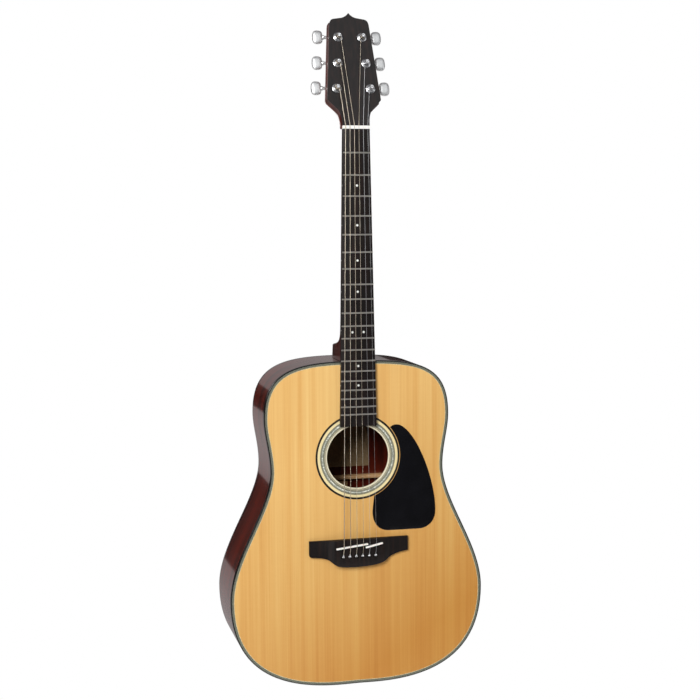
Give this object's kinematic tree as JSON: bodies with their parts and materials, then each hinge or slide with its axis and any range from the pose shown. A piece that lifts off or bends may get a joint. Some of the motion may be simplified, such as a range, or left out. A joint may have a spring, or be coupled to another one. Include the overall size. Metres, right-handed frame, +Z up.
{
  "type": "acoustic guitar",
  "caption": "Full-size steel-string flat-top acoustic guitar: spruce top, deep dark mahogany body, dark fingerboard and bridge, chrome tuners that turn.",
  "frame": {"origin": "middle of the nut's front edge, in the plane of the fret tops, where the scale length starts and where a hanger's yoke carries the head", "axes": "+Z up the neck towards the head, -Y out of the soundboard towards the listener, +X to the treble side"},
  "size_m": [0.409, 0.1438, 1.0693],
  "materials": {
    "spruce": "clear gloss lacquer over straight-grained spruce",
    "mahogany": "dark red-brown stain under clear gloss lacquer",
    "inner_wood": "bare planed softwood and mahogany inside the body",
    "rosewood": "oiled, near black",
    "black_plastic": "gloss",
    "white_plastic": "polished synthetic bone",
    "rosette_inlay": "cream and grey rings under gloss lacquer",
    "chrome": "polished",
    "bronze_wire": "round-wound phosphor bronze",
    "steel": "plain drawn wire"
  },
  "bodies": {
    "guitar": {"soundboard": "spruce", "back": "mahogany", "side_bass": "mahogany", "side_treble": "mahogany", "neck": "mahogany", "neck_block": "inner_wood", "tail_block": "inner_wood", "top_lining_bass": "inner_wood", "top_lining_treble": "inner_wood", "back_lining_bass": "inner_wood", "back_lining_treble": "inner_wood", "x_brace": "inner_wood", "transverse_brace": "inner_wood", "tone_bar_upper": "inner_wood", "tone_bar_lower": "inner_wood", "back_bracing": "inner_wood", "fingerboard": "rosewood", "bridge": "rosewood", "head_cap": "rosewood", "bridge_plate": "rosewood", "top_binding": "black_plastic", "back_binding": "black_plastic", "pickguard": "black_plastic", "heel_cap": "black_plastic", "end_pin": "black_plastic", "nut": "white_plastic", "saddle_long": "white_plastic", "saddle_short": "white_plastic", "rosette": "rosette_inlay", "tuner_housing_1": "chrome", "tuner_bushing_1": "chrome", "tuner_housing_2": "chrome", "tuner_bushing_2": "chrome", "tuner_housing_3": "chrome", "tuner_bushing_3": "chrome", "tuner_housing_4": "chrome", "tuner_bushing_4": "chrome", "tuner_housing_5": "chrome", "tuner_bushing_5": "chrome", "tuner_housing_6": "chrome", "tuner_bushing_6": "chrome", "string_6": "bronze_wire", "string_5": "bronze_wire", "string_4": "bronze_wire", "string_3": "bronze_wire", "string_2": "steel", "string_1": "steel", "truss_rod": "steel"},
    "button_6": {"tuner_button_6": "chrome"},
    "post_6": {"tuner_post_6": "chrome"},
    "button_5": {"tuner_button_5": "chrome"},
    "post_5": {"tuner_post_5": "chrome"},
    "button_4": {"tuner_button_4": "chrome"},
    "post_4": {"tuner_post_4": "chrome"},
    "button_3": {"tuner_button_3": "chrome"},
    "post_3": {"tuner_post_3": "chrome"},
    "button_2": {"tuner_button_2": "chrome"},
    "post_2": {"tuner_post_2": "chrome"},
    "button_1": {"tuner_button_1": "chrome"},
    "post_1": {"tuner_post_1": "chrome"}
  },
  "joints": [
    {"name": "button_6_turn", "type": "hinge", "parent": "guitar", "child": "button_6", "pos_m": [-0.0267, 0.03836, 0.06398], "axis": [1, 0, 0], "continuous": true},
    {"name": "post_6_turn", "type": "hinge", "parent": "guitar", "child": "post_6", "pos_m": [-0.0267, 0.01695, 0.06232], "axis": [0, -0.9677, 0.2521], "continuous": true},
    {"name": "button_5_turn", "type": "hinge", "parent": "guitar", "child": "button_5", "pos_m": [-0.0225, 0.04867, 0.10356], "axis": [1, 0, 0], "continuous": true},
    {"name": "post_5_turn", "type": "hinge", "parent": "guitar", "child": "post_5", "pos_m": [-0.0225, 0.02726, 0.1019], "axis": [0, -0.9677, 0.2521], "continuous": true},
    {"name": "button_4_turn", "type": "hinge", "parent": "guitar", "child": "button_4", "pos_m": [-0.0191, 0.05928, 0.1443], "axis": [1, 0, 0], "continuous": true},
    {"name": "post_4_turn", "type": "hinge", "parent": "guitar", "child": "post_4", "pos_m": [-0.0191, 0.03787, 0.14264], "axis": [0, -0.9677, 0.2521], "continuous": true},
    {"name": "button_3_turn", "type": "hinge", "parent": "guitar", "child": "button_3", "pos_m": [0.0191, 0.05928, 0.1443], "axis": [1, 0, 0], "continuous": true},
    {"name": "post_3_turn", "type": "hinge", "parent": "guitar", "child": "post_3", "pos_m": [0.0191, 0.03787, 0.14264], "axis": [0, -0.9677, 0.2521], "continuous": true},
    {"name": "button_2_turn", "type": "hinge", "parent": "guitar", "child": "button_2", "pos_m": [0.0225, 0.04867, 0.10356], "axis": [1, 0, 0], "continuous": true},
    {"name": "post_2_turn", "type": "hinge", "parent": "guitar", "child": "post_2", "pos_m": [0.0225, 0.02726, 0.1019], "axis": [0, -0.9677, 0.2521], "continuous": true},
    {"name": "button_1_turn", "type": "hinge", "parent": "guitar", "child": "button_1", "pos_m": [0.0267, 0.03836, 0.06398], "axis": [1, 0, 0], "continuous": true},
    {"name": "post_1_turn", "type": "hinge", "parent": "guitar", "child": "post_1", "pos_m": [0.0267, 0.01695, 0.06232], "axis": [0, -0.9677, 0.2521], "continuous": true}
  ],
  "couplings": [
    {"joint": "post_6_turn", "follows": "button_6_turn", "ratio": -0.071429},
    {"joint": "post_5_turn", "follows": "button_5_turn", "ratio": -0.071429},
    {"joint": "post_4_turn", "follows": "button_4_turn", "ratio": -0.071429},
    {"joint": "post_3_turn", "follows": "button_3_turn", "ratio": -0.071429},
    {"joint": "post_2_turn", "follows": "button_2_turn", "ratio": -0.071429},
    {"joint": "post_1_turn", "follows": "button_1_turn", "ratio": -0.071429}
  ]
}
